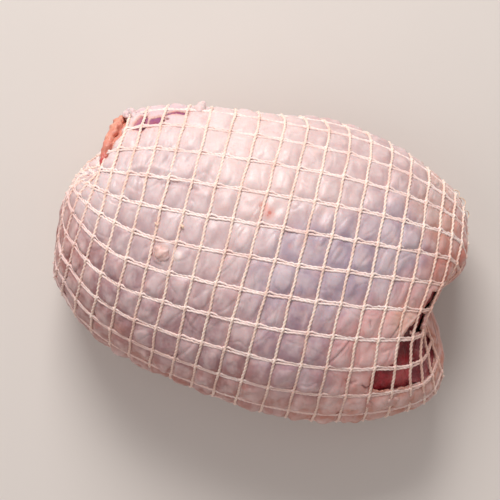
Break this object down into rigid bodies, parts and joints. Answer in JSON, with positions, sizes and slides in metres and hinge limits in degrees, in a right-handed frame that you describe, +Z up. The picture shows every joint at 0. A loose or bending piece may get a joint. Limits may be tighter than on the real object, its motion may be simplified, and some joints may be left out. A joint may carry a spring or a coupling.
{
  "type": "turkey breast roll",
  "caption": "Raw boneless turkey breast roll, wrapped in its own skin and held in an elastic roasting net, with dark meat showing at the seam and at one end.",
  "frame": {"origin": "centre of the bounding box, at the level of the surface that the roll rests on", "axes": "+X along the roll towards the end with the open skin seam, +Y towards the back, +Z up"},
  "size_m": [0.2238, 0.1655, 0.1033],
  "materials": {
    "meat": "moist raw dark red meat",
    "skin": "moist translucent pale pink skin",
    "netting": "cream elastic cotton thread"
  },
  "bodies": {
    "root": {"meat": "meat", "skin": "skin", "netting": "netting"}
  },
  "joints": []
}
